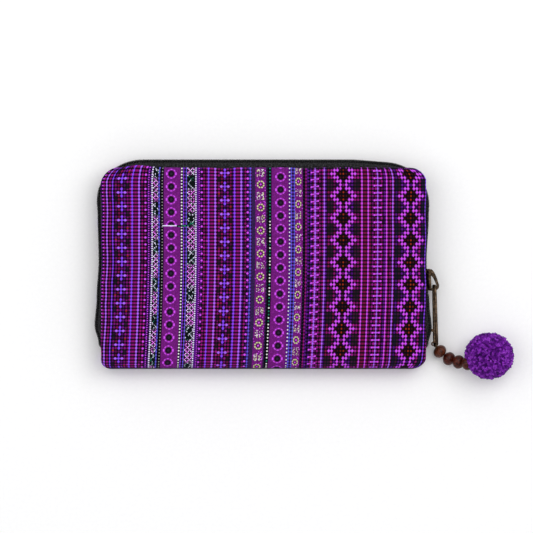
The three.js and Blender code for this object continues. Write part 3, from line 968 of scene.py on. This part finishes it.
def cloth_point(across, down, outer):
    """A point of the outer or the inner face of the padded cloth."""
    y, z, out, front = wrap(down)
    share = 2 * across / cloth_width - 1
    corners = (corner_left, fold_corner_left) if share < 0 else (corner_right, fold_corner_right)
    reach = side_reach(down, y, *corners)
    x = share * half_width - math.copysign((half_width - reach) * abs(share) ** 6, share)
    side_edge = reach - abs(x)
    end_edge = min(down, cloth_length - down)
    edge = max(0, min(side_edge, end_edge))
    roll = max(0, 1 - edge / edge_roll)
    drop = edge_drop * (1 - math.sqrt(1 - roll * roll))
    lift = front * pillow(x, y)
    if outer:
        side_pucker = math.sin(2 * math.pi * down / pucker_pitch) * math.exp(-side_edge / 4)
        end_pucker = math.sin(2 * math.pi * across / pucker_pitch + 1) * math.exp(-end_edge / 4)
        soft = 0.3 * noise.noise(Vector((across / 21, down / 21, 3)))
        lift += front * (pucker_depth * (side_pucker + end_pucker) + soft) - drop
    else:
        lift -= wall
        if drop > wall - rim_wall:
            lift -= drop - wall + rim_wall
    top_wobble = 0.35 * math.sin(across / 9) + 0.2 * math.sin(across / 3.7)
    ear = ear_rise * math.exp(-((across - ear_at) / ear_reach) ** 2)
    y += front * (ear - max(0, top_wobble)) * math.exp(-end_edge / 4)
    return Vector((x, y + out[0] * lift, z + out[1] * lift))


def make_cover():
    columns = grid_lines(cloth_width)
    rows = grid_lines(cloth_length)
    bm, flat = flat_sheet(
        len(columns) - 1,
        len(rows) - 1,
        lambda column, row: Vector((columns[column], rows[row], 0)),
    )
    outer_rim = [edge for edge in bm.edges if edge.is_boundary]
    copied = bmesh.ops.duplicate(bm, geom=bm.verts[:] + bm.edges[:] + bm.faces[:])["geom"]
    inner = {item for item in copied if isinstance(item, bmesh.types.BMVert)}
    inner_rim = [e for e in copied if isinstance(e, bmesh.types.BMEdge) and e.is_boundary]
    for vert in bm.verts:
        vert.co = cloth_point(vert[flat].x, vert[flat].y, vert not in inner)
    bmesh.ops.bridge_loops(bm, edges=outer_rim + inner_rim)
    bmesh.ops.recalc_face_normals(bm, faces=bm.faces)
    if bm.calc_volume(signed=True) < 0:
        bmesh.ops.reverse_faces(bm, faces=bm.faces)
    print("cloth cut:", round(cloth_width), "x", round(cloth_length), "mm")
    return to_mesh(bm, "padded_cloth")


cover = add_piece(make_cover(), "padded_cloth", woven_cloth, "pouch", "woven_cloth", "cover", sharp=80)

# %% [markdown]
# ## The line of the zip
# The zip is sewn into the open edge: up the left side, over the top and down the right side. Its line is
# the edge of the cloth with rounder corners, and a short table says how far the coil stands out of the
# cloth along it. The zip is closed above the slider and parts below it, so the two rows spread there.

# %% The zip's path
clearance = 0.3
tape_thickness = 1
tape_tuck = 7
tape_lift = 2
tape_width = 12
tape_step = 1.6
tape_rows = 10
zip_corner = 25
zip_stand = 5
coil_radius = 1.15
mouth_spread = 1.2
mouth_length = 24
slider_below_top = 67.6
slider_length = 13
end_stop_length = 1.8
zip_foot = bottom + wall + clearance + 1.2
side_run = top - zip_corner - zip_foot
corner_run = math.pi / 2 * zip_corner
top_run = 2 * half_width - 2 * zip_corner
EDGE_RUNS = {
    "left": side_run,
    "leftCorner": corner_run,
    "top": top_run,
    "rightCorner": corner_run,
    "right": side_run,
}
EDGE_STARTS = {}
zip_length = 0
for edge, run in EDGE_RUNS.items():
    EDGE_STARTS[edge] = zip_length
    zip_length += run
STAND = [
    ("left", 0, -0.8),
    ("left", 0.05, -0.5),
    ("left", 0.12, 0.3),
    ("left", 0.24, 0.78),
    ("left", 0.42, 0.54),
    ("left", 0.66, 0.3),
    ("left", 0.96, 0.42),
    ("leftCorner", 0.45, 0.98),
    ("top", 0.05, 1),
    ("top", 0.85, 1),
    ("rightCorner", 0.15, 0.68),
    ("rightCorner", 0.6, 0.64),
    ("right", 0.05, 0.34),
    ("right", 0.34, 0.08),
    ("right", 0.46, 0.1),
    ("right", 0.62, 0.44),
    ("right", 0.78, 0.7),
    ("right", 0.88, 0.3),
    ("right", 0.95, -0.5),
    ("right", 1, -0.8),
]
STAND_ROWS = [
    (EDGE_STARTS[edge] + share * EDGE_RUNS[edge], stand * zip_stand) for edge, share, stand in STAND
]
slider_at = EDGE_STARTS["right"] + slider_below_top - zip_corner


def smooth_mix(low, high, share):
    t = min(1, max(0, share))
    return low + (high - low) * t * t * (3 - 2 * t)


def edge_point(along):
    """A point on the cloth's edge line, and the direction away from the pouch."""
    if along > zip_length / 2:
        point, out = edge_point(zip_length - along)
        return Vector((-point.x, point.y, point.z)), Vector((-out.x, out.y, 0))
    if along <= EDGE_STARTS["leftCorner"]:
        return Vector((-half_width, zip_foot + along, middle)), Vector((-1, 0, 0))
    if along <= EDGE_STARTS["top"]:
        turn = math.pi - (along - EDGE_STARTS["leftCorner"]) / zip_corner
        out = Vector((math.cos(turn), math.sin(turn), 0))
        return Vector((zip_corner - half_width, top - zip_corner, middle)) + out * zip_corner, out
    x = zip_corner - half_width + along - EDGE_STARTS["top"]
    return Vector((x, top, middle)), Vector((0, 1, 0))


def stand_at(along):
    for (low_at, low), (high_at, high) in zip(STAND_ROWS, STAND_ROWS[1:]):
        if along <= high_at:
            return smooth_mix(low, high, (along - low_at) / (high_at - low_at))
    return STAND_ROWS[-1][1]


def spread_at(along):
    lower_end = slider_at + slider_length / 2
    if along <= lower_end:
        share = (along - slider_at + slider_length / 6) / (slider_length / 2)
        return mouth_spread * smooth_mix(0, 1, share)
    return mouth_spread * smooth_mix(1, 0, (along - lower_end) / (mouth_length - end_stop_length))


def tape_ceiling(y):
    arc_start = bottom + fold_radius
    if y >= arc_start:
        return middle - wall - clearance - tape_thickness / 2
    radius = fold_radius - wall - clearance - tape_thickness / 2
    drop = min(arc_start - y, radius)
    return middle - fold_radius + math.sqrt(radius * radius - drop * drop)


print("zip length:", round(zip_length), "mm")

# %% [markdown]
# ## Tapes and coil
# Zip tape is a firm ribbed ribbon of nylon. It comes out from under the cloth's edge and bends down and
# on behind the coil. Each row of teeth is one nylon thread wound into a coil and sewn to the tape, so each
# tooth is a small closed loop, and the two rows stand half a step apart to mesh.


# %% Tape and coil materials
def make_tape_cloth():
    material, shader = new_material("zip_tape", 0.82)
    along, across, _ = own_place(material, "flat_mm")
    ribs = fade(calc("SINE", along * 7.0), -1, 1)
    waves = fade(calc("SINE", across * 9.0 + calc("SINE", along * 3.5) * 1.2), -1, 1)
    relief = ribs * 0.6 + waves * 0.4
    rib_light_patches = cloud(vector_of(along, across, 0.0), 0.9, 3.0)
    # Painted light and shade: the raised ribs are painted grey and the grooves near black, the ribs more so
    # in cloudy patches.
    tint = paint(colour(8, 8, 10), colour(84, 84, 88), relief * fade(rib_light_patches, 0.35, 0.8))
    shader.inputs["Specular IOR Level"].default_value = 0.15
    finish_surface(shader, tint, relief, depth=0.15)
    return material


def make_nylon():
    material, shader = new_material("zip_coil", 0.42)
    wear = cloud(object_place(material), 0.8, 3.0)
    tint = paint(colour(8, 8, 9), colour(44, 44, 48), fade(wear, 0.4, 0.8))
    shader.inputs["Specular IOR Level"].default_value = 0.3
    finish_surface(shader, tint, wear, depth=0.05, roughness=wear * 0.25 + 0.3)
    return material


zip_tape = make_tape_cloth()
zip_coil = make_nylon()


# %% The tapes
def bezier(points, share):
    """A point on a curve with four control points."""
    rest = 1 - share
    weights = (rest ** 3, 3 * rest * rest * share, 3 * rest * share * share, share ** 3)
    return sum((point * weight for point, weight in zip(points, weights)), Vector((0, 0)))


def make_tape(side):
    """One tape. side is 1 for the front one and -1 for the back one."""
    def place(along, share):
        base, out = edge_point(along)
        ceiling = tape_ceiling(base.y)
        outer = stand_at(along) - coil_radius * 1.6
        coil_side = spread_at(along) + clearance * 1.5 + 2 * coil_radius
        coil_middle = spread_at(along) + clearance / 2 + coil_radius * 0.8
        bend = -tape_tuck + (outer + tape_tuck) * 0.85
        profile = [
            Vector((-tape_tuck, ceiling + tape_lift)),
            Vector((bend, ceiling)),
            Vector((outer + 0.7, coil_side)),
            Vector((outer - 0.3, coil_middle)),
        ]
        point = bezier(profile, share)
        return base + out * point.x + Vector((0, 0, side * point.y))

    columns = round(zip_length / tape_step)
    bm, flat = flat_sheet(
        columns,
        tape_rows,
        lambda column, row: Vector((zip_length * column / columns, tape_width * row / tape_rows, 0)),
    )
    for vert in bm.verts:
        vert.co = place(vert[flat].x, vert[flat].y / tape_width)
    bmesh.ops.solidify(bm, geom=bm.faces, thickness=tape_thickness * 0.8)
    bmesh.ops.recalc_face_normals(bm, faces=bm.faces)
    return to_mesh(bm, "tape")


add_piece(make_tape(1), "front_tape", zip_tape, "pouch", "zip_tape", "zip_tape_front")
add_piece(make_tape(-1), "back_tape", zip_tape, "pouch", "zip_tape", "zip_tape_back")

# %% The coils
tooth_pitch = 1.4
tooth_wire = 0.34
tooth_mesh = 0.3
tooth_slant = math.radians(9)


def make_tooth():
    """One closed loop of the coil, round Y, which is the way along the zip."""
    bm = bmesh.new()
    bmesh.ops.create_circle(bm, segments=5, radius=tooth_wire)
    bmesh.ops.translate(bm, verts=bm.verts, vec=(coil_radius - tooth_wire, 0, 0))
    spin_round(bm, (0, 1, 0), 9)
    return to_mesh(bm, "tooth")


def make_coil(side, tooth):
    count = int(zip_length / tooth_pitch)
    places = []
    for i in range(count):
        along = (i + (0.5 if side > 0 else 0) + 0.25) * zip_length / count
        base, out = edge_point(along)
        ahead = (edge_point(along + 0.1)[0] - edge_point(along - 0.1)[0]).normalized()
        closed = 1 - spread_at(along) / mouth_spread
        height = spread_at(along) + clearance / 2 + coil_radius - tooth_mesh * closed
        centre = base + out * (stand_at(along) - coil_radius) + Vector((0, 0, side * height))
        turn = Matrix((out, ahead, out.cross(ahead))).transposed()
        slant = Matrix.Rotation(tooth_slant * side, 3, "X")
        places.append(Matrix.Translation(centre * MM) @ (turn @ slant).to_4x4())
    return join_copies([tooth], places, "coil")


tooth = make_tooth()
add_piece(make_coil(1, tooth), "front_coil", zip_coil, "pouch", "zip_coil", "zip_coil_front")
add_piece(make_coil(-1, tooth), "back_coil", zip_coil, "pouch", "zip_coil", "zip_coil_back")

# %% [markdown]
# ## Worn bronze
# Slider, pull and clip are cast and plated in antique bronze, which is nearly black in its hollows. Here
# the finish mixes nearly black, brown and pale metal in patches of noise; the pale patches are partly
# rubbed metal and partly painted highlight.
# Their solids already have the right shape, so each piece is a welded copy of its solid with its edges
# smoothed, and the finish does the rest. Only the slider's crown, which stands out past crown_side, is cast
# a little fuller.

# %% Bronze pieces
crown_side = 100.6
crown_swell = 0.22


def make_bronze():
    material, shader = new_material("antique_bronze", 0.38, 1.0)
    place = object_place(material)
    patina = cloud(place, 0.55, 4.0)
    rub_and_highlight = cloud(place, 2.6, 2.0)
    tint = paint(colour(52, 42, 34), colour(112, 92, 74), fade(patina, 0.38, 0.66))
    # Partly rubbed metal and partly painted highlight: pale patches that stand for the shine of the cast
    # metal.
    tint = paint(tint, colour(170, 150, 128), fade(rub_and_highlight, 0.62, 0.8))
    shader.inputs["Specular Tint"].default_value = colour(120, 100, 84)
    finish_surface(shader, tint, patina + rub_and_highlight * 0.3, depth=0.06, roughness=rub_and_highlight * 0.3 + 0.24)
    return material


def welded_copy(node, name, beyond=None, swell=0.0):
    """The solid's own mesh with its corners shared again. Past beyond, in x, it swells by a little."""
    bm = bmesh.new()
    bm.from_mesh(frame["nodes"][node].data)
    bmesh.ops.remove_doubles(bm, verts=bm.verts, dist=0.01 * MM)
    bmesh.ops.dissolve_limit(bm, angle_limit=math.radians(1), verts=bm.verts, edges=bm.edges)
    if beyond is not None:
        bm.normal_update()
        moves = [(vert, vert.normal * swell * MM) for vert in bm.verts if vert.co.x > beyond * MM]
        for vert, move in moves:
            vert.co += move
    return bare_mesh(bm, name)


bronze = make_bronze()
casting = welded_copy("slider", "slider_casting", beyond=crown_side, swell=crown_swell)
add_piece(casting, "slider_casting", bronze, "pouch", "bronze", "slider", sharp=35)
clip = welded_copy("end_stop", "end_clip")
add_piece(clip, "end_clip", bronze, "pouch", "bronze", "end_stop", sharp=35)
loop = welded_copy("pull_frame", "pull_loop")
add_piece(loop, "pull_loop", bronze, "pull", "bronze", "pull_frame", sharp=60)

# %% [markdown]
# ## Beads
# Each bead is turned from dark wood and polished, a little shorter than it is wide, with rounded mouths
# to its bore. A half profile is spun round the bore. The grain runs along the bore, so every bead keeps
# its own coordinates from before it is placed, and the material reads those.


# %% Beads
bead_radius = 4.15
bead_half = 3.5
bead_bore = 1.15
bead_steps = 14
bead_sides = 36
BEADS = table(
    "node tone turn",
    ("bead_1", 0.55, 0.3),
    ("bead_2", 0.25, 1.9),
    ("bead_3", 0.2, 3.7),
    ("bead_4", 0.35, 5.1),
)
bead_centres = [centre_mm(row["node"]) for row in BEADS]
pompom_centre = centre_mm("pompom")


def make_bead_wood():
    material, shader = new_material("bead_wood", 0.32)
    across, depth, along = own_place(material, "turned_mm")
    tone = own_place(material, "tone_mm")[0]
    grain = cloud(vector_of(across * 1.6, depth * 1.6, along * 0.28 + tone * 9), 1.0, 4.0)
    pores = cloud(vector_of(across * 5, depth * 5, along * 0.7 + tone * 5), 1.0, 2.0)
    dark = paint(colour(30, 6, 4), colour(92, 32, 18), fade(grain, 0.35, 0.7))
    light = paint(colour(74, 34, 22), colour(146, 88, 52), fade(grain, 0.35, 0.7))
    tint = paint(dark, light, fade(tone, 0.3, 1.0))
    tint = shade(tint, calc("SUBTRACT", 1, fade(pores, 0.6, 0.75) * 0.5))
    shader.inputs["Specular IOR Level"].default_value = 0.22
    finish_surface(shader, tint, pores, depth=0.04, roughness=grain * 0.3 + 0.2)
    return material


def make_bead(row, centre, way):
    bm = bmesh.new()
    last = None
    mouth = math.acos(bead_bore / bead_radius)
    for i in range(bead_steps + 1):
        turn = mouth * (2 * i / bead_steps - 1)
        vert = bm.verts.new((bead_radius * math.cos(turn), 0, bead_half * math.sin(turn)))
        if last:
            bm.edges.new((last, vert))
        last = vert
    bm.verts.ensure_lookup_table()
    bm.edges.new((last, bm.verts[0]))
    spin_round(bm, (0, 0, 1), bead_sides)
    turned = bm.verts.layers.float_vector.new("turned_mm")
    tone = bm.verts.layers.float_vector.new("tone_mm")
    for vert in bm.verts:
        vert[turned] = vert.co
        vert[tone] = (row["tone"], 0, 0)
    spin = Matrix.Rotation(row["turn"], 4, "Z")
    aim = way.to_track_quat("Z", "Y").to_matrix().to_4x4()
    bmesh.ops.transform(bm, verts=bm.verts, matrix=aim @ spin)
    bmesh.ops.translate(bm, verts=bm.verts, vec=centre)
    return to_mesh(bm, row["node"])


# %% [markdown]
# ## The string
# A thin waxed cord is looped round the foot of the pull and runs through the four beads into the pompom.
# It is twisted from two strands, so two thin tubes wind round one smooth line through the beads.

# %% The string's line
hinge = Vector(frame["joints"][0]["pos_m"]) / MM
pull_length = 38
pull_bar = 1.5
pull_foot_radius = 4.3
pull_turn = math.radians(10)
pull_slant = math.radians(1.4)
loop_angle = math.radians(50)
thread_radius = 0.55
loop_radius = 1.8
loop_steps = 32
twist_length = 2.6
thread_tuck = 6
pull_tilt = Matrix.Rotation(pull_slant, 4, "Z") @ Matrix.Rotation(pull_turn, 4, "Y")
pull_place = Matrix.Translation(hinge) @ pull_tilt


def pull_foot_point(turn):
    """A point on the middle of the bar in the pull's round foot. turn is 0 at its very end."""
    centre = -(pull_length - pull_bar - pull_foot_radius)
    local = Vector((0, centre - pull_foot_radius * math.cos(turn), -pull_foot_radius * math.sin(turn)))
    return pull_place @ local


loop_centre = pull_foot_point(loop_angle)
bar_way = (pull_foot_point(loop_angle + 0.01) - loop_centre).normalized()
to_bead = bead_centres[0] - loop_centre
loop_out = (to_bead - bar_way * to_bead.dot(bar_way)).normalized()
loop_side = bar_way.cross(loop_out)
inward = (pompom_centre - bead_centres[3]).normalized()
thread_end = pompom_centre - inward * thread_tuck
string_points = [loop_centre + loop_out * loop_radius, *bead_centres, thread_end]


def through(points, steps):
    """A smooth line through all the points."""
    line = []
    for i in range(len(points) - 1):
        before = points[max(i - 1, 0)]
        after = points[min(i + 2, len(points) - 1)]
        start, end = points[i], points[i + 1]
        for step in range(steps):
            t = step / steps
            line.append(0.5 * (
                2 * start + (end - before) * t
                + (2 * before - 5 * start + 4 * end - after) * t ** 2
                + (3 * start - before - 3 * end + after) * t ** 3))
    return line + [points[-1]]


string_line = through(string_points, 24)
for row, centre, before, after in zip(BEADS, bead_centres, string_points, string_points[2:]):
    row["way"] = (after - before).normalized()

bead_wood = make_bead_wood()
for row, centre in zip(BEADS, bead_centres):
    name = "turned_" + row["node"]
    add_piece(make_bead(row, centre, row["way"]), name, bead_wood, "pull", "bead_wood", row["node"])


# %% The twisted cord
def make_cord_fibre():
    material, shader = new_material("waxed_cord", 0.7)
    fibre = cloud(object_place(material), 3.0, 3.0)
    tint = paint(colour(52, 30, 18), colour(128, 84, 50), fade(fibre, 0.3, 0.75))
    shader.inputs["Sheen Weight"].default_value = 0.2
    finish_surface(shader, tint, fibre, depth=0.06)
    return material


def twisted(line, radius, turn_length, strands=2):
    """The lines of strands that wind round a line."""
    frames = frames_along(line)
    result = []
    for strand in range(strands):
        gone = 0
        points = []
        for i, (point, side, lift) in enumerate(frames):
            if i:
                gone += (point - frames[i - 1][0]).length
            turn = 2 * math.pi * (gone / turn_length + strand / strands)
            points.append(point + (side * math.cos(turn) + lift * math.sin(turn)) * radius)
        result.append(points)
    return result


def make_string():
    loop_line = []
    for i in range(loop_steps + 1):
        turn = 2 * math.pi * i / loop_steps
        away = loop_out * math.cos(turn) + loop_side * math.sin(turn)
        loop_line.append(loop_centre + away * loop_radius)
    whole = bmesh.new()
    for line in (loop_line, string_line):
        for strand in twisted(line, thread_radius * 0.5, twist_length):
            absorb(whole, tube(strand, thread_radius * 0.52, 6))
    return to_mesh(whole, "string")


add_piece(make_string(), "string", make_cord_fibre(), "pull", "cord", "bead_thread")

# %% [markdown]
# ## The pompom
# A pompom is hundreds of turns of yarn, tied in the middle and cut, so it shows nothing but yarn ends
# that point outwards. Each end opens into its plies. A smooth ball with bump would have a hard outline,
# so real ends are modelled: a few templates of one yarn end, copied over a sphere on a spiral that
# spaces them evenly, each leaned and lengthened a little by seeded chance.


# %% The pompom
yarn_count = 1700
yarn_radius = 0.34
ball_radius = 14.2
ball_stretch = 1.05
yarn_length = 6.5
template_count = 7
lowest_tip = 0.35
rng = random.Random(11)


def make_yarn():
    material, shader = new_material("violet_yarn", 0.85)
    tone = own_place(material, "tone")[0]
    place = object_place(material)
    fibre = cloud(place, 2.2, 3.0)
    # Painted shade and highlight: the dark to light range follows each strand's tone, and the palest colour
    # is a painted highlight on the lightest strands.
    tint = paint(colour(62, 6, 96), colour(140, 34, 190), tone)
    tint = paint(tint, colour(210, 112, 248), both(fade(fibre, 0.45, 0.75), fade(tone, 0.45, 0.9)))
    shader.inputs["Sheen Weight"].default_value = 0.15
    shader.inputs["Sheen Roughness"].default_value = 0.4
    shader.inputs["Sheen Tint"].default_value = colour(190, 120, 240)
    shader.inputs["Specular IOR Level"].default_value = 0.1
    finish_surface(shader, tint, fibre, depth=0.1)
    return material


def make_yarn_end():
    """One cut end of three plies, along Z, with its tip at the origin."""
    whole = bmesh.new()
    splay = rng.uniform(0.25, 0.5)
    start = rng.uniform(0, 2 * math.pi)
    for ply in range(3):
        turn = start + 2 * math.pi * ply / 3
        points = []
        for step in range(4):
            share = step / 3
            wind = turn + 1.9 * share
            reach = yarn_radius * (0.7 + splay * share * share * 2)
            z = -yarn_length * (1 - share) + rng.uniform(-0.25, 0.25) * share
            points.append(Vector((reach * math.cos(wind), reach * math.sin(wind), z)))
        absorb(whole, tube(points, lambda share: yarn_radius * (0.9 + 0.25 * share), 4))
    return to_mesh(whole, "yarn_end")


def make_pompom():
    templates = [make_yarn_end() for _ in range(template_count)]
    golden = math.pi * (3 - math.sqrt(5))
    places = []
    tones_and_shade = []
    for i in range(yarn_count):
        height = 1 - (2 * i + 1) / yarn_count
        ring = math.sqrt(1 - height * height)
        way = Vector((ring * math.cos(golden * i), ring * math.sin(golden * i), height))
        lean = Vector([rng.gauss(0, 0.07) for _ in range(3)])
        lump = noise.noise(way * 2.6)
        clump = noise.noise(way * 9)
        reach = ball_radius - 0.2 + 0.5 * lump + 0.5 * clump + rng.uniform(-0.9, 0.2)
        tip = pompom_centre + Vector((way.x * ball_stretch, way.y, way.z)) * reach
        tip.z = max(tip.z, lowest_tip)
        turn = (way + lean).normalized().to_track_quat("Z", "Y").to_matrix().to_4x4()
        spin = Matrix.Rotation(rng.uniform(0, 2 * math.pi), 4, "Z")
        places.append(Matrix.Translation(tip * MM) @ turn @ spin)
        # The tone is partly seeded chance and partly painted shade: strands that the clumps push out are
        # lighter, and sunken ones are darker.
        tones_and_shade.append(min(1, max(0, 0.45 + 0.7 * clump + rng.gauss(0, 0.34))))
    return join_copies(templates, places, "pompom", tones_and_shade)


violet_yarn = make_yarn()
add_piece(make_pompom(), "cut_yarn", violet_yarn, "pull", "yarn", "pompom", sharp=180)
